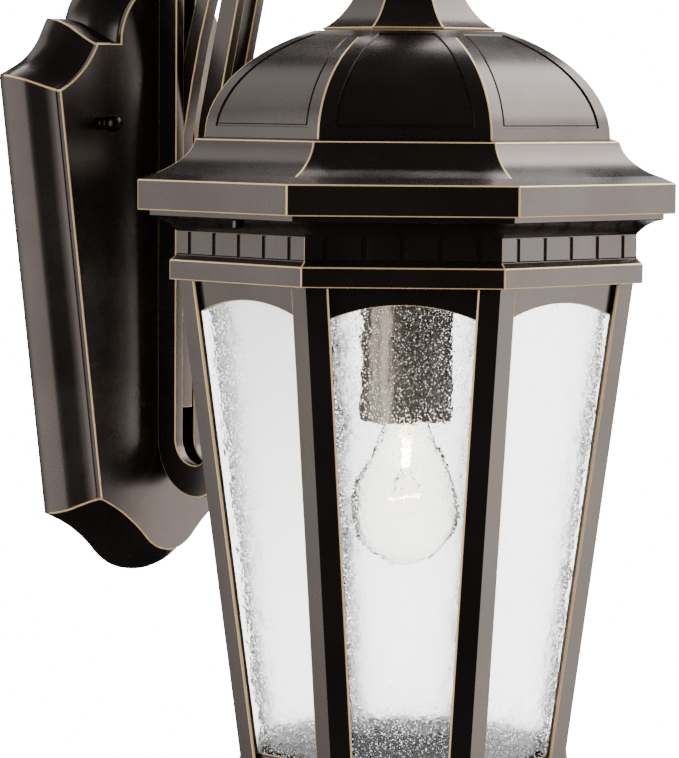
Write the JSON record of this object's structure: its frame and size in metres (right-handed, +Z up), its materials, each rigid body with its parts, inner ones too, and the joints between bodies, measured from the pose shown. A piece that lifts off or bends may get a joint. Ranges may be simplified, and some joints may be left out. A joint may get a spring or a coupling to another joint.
{
  "type": "outdoor wall lantern",
  "caption": "Octagonal wall lantern: domed hood on a hook arm and shaped wall plate, tapered seeded-glass cage with arched panes and a bulb.",
  "frame": {"origin": "middle of the mounting bar's back face, on the wall plane at the height of the outlet box", "axes": "+Y into the wall, +Z up, +X along the wall to the right of someone who faces it"},
  "size_m": [0.292, 0.388, 0.6743],
  "materials": {
    "bronze_casting": "dark rubbed bronze coating, satin gloss, with thin pale gold edges worn along every ridge",
    "dark_hardware": "blackened screws and nuts, half gloss",
    "zinc_steel": "bright zinc plate",
    "brass": "plain turned and drawn brass",
    "socket_cup": "bronze painted steel cup",
    "porcelain": "glazed white ceramic",
    "seeded_glass": "clear seeded glass with many small bubbles and a slight wave",
    "bulb_glass": "clear blown glass",
    "filament": "glowing tungsten wire on a glass pillar"
  },
  "bodies": {
    "bracket": {"arm_loop_left": "bronze_casting", "arm_loop_right": "bronze_casting", "arm_screw_crook": "dark_hardware", "arm_screw_lower": "dark_hardware", "arm_screw_upper": "dark_hardware", "backplate": "bronze_casting", "bell_cap": "bronze_casting", "cup_lock_nut": "zinc_steel", "eye_lock_nut": "dark_hardware", "ground_screw": "brass", "hanging_stem": "zinc_steel", "hood": "bronze_casting", "hood_lock_nut": "zinc_steel", "hook_arm": "bronze_casting", "mounting_bar": "zinc_steel", "mounting_stud_left": "zinc_steel", "mounting_stud_right": "zinc_steel", "plate_screw_1": "zinc_steel", "plate_screw_2": "zinc_steel", "socket_contact": "brass", "socket_cup": "socket_cup", "socket_porcelain": "porcelain", "socket_screw_shell": "brass"},
    "cage": {"cage_crown": "bronze_casting", "arched_header": "bronze_casting", "pane_retainer": "zinc_steel", "bottom_rail": "bronze_casting", "base_pan": "bronze_casting", "base_finial": "bronze_casting", "finial_nut": "zinc_steel", "corner_post_1": "bronze_casting", "corner_post_2": "bronze_casting", "corner_post_3": "bronze_casting", "corner_post_4": "bronze_casting", "corner_post_5": "bronze_casting", "corner_post_6": "bronze_casting", "corner_post_7": "bronze_casting", "corner_post_8": "bronze_casting", "glass_pane_1": "seeded_glass", "glass_pane_2": "seeded_glass", "glass_pane_3": "seeded_glass", "glass_pane_4": "seeded_glass", "glass_pane_5": "seeded_glass", "glass_pane_6": "seeded_glass", "glass_pane_7": "seeded_glass", "glass_pane_8": "seeded_glass"},
    "bulb": {"bulb_base": "brass", "bulb_glass": "bulb_glass", "bulb_filament": "filament"},
    "thumb_screw_left": {"thumb_screw_left": "zinc_steel"},
    "thumb_screw_right": {"thumb_screw_right": "zinc_steel"},
    "cap_nut_left": {"cap_nut_left": "dark_hardware"},
    "cap_nut_right": {"cap_nut_right": "dark_hardware"}
  },
  "joints": [
    {"name": "cage_drop", "type": "slide", "parent": "bracket", "child": "cage", "axis": [0, 0, -1], "range_m": [0, 0.21]},
    {"name": "bulb_withdraw", "type": "slide", "parent": "bracket", "child": "bulb", "axis": [0, 0, -1], "range_m": [0, 0.03]},
    {"name": "thumb_screw_left_turn", "type": "hinge", "parent": "cage", "child": "thumb_screw_left", "pos_m": [-0.1355, -0.252, -0.05], "axis": [0, 0, 1], "continuous": true},
    {"name": "thumb_screw_right_turn", "type": "hinge", "parent": "cage", "child": "thumb_screw_right", "pos_m": [0.1355, -0.252, -0.05], "axis": [0, 0, 1], "continuous": true},
    {"name": "cap_nut_left_turn", "type": "hinge", "parent": "bracket", "child": "cap_nut_left", "pos_m": [-0.0555, -0.046, 0], "axis": [0, -1, 0], "continuous": true},
    {"name": "cap_nut_right_turn", "type": "hinge", "parent": "bracket", "child": "cap_nut_right", "pos_m": [0.0555, -0.046, 0], "axis": [0, -1, 0], "continuous": true}
  ]
}
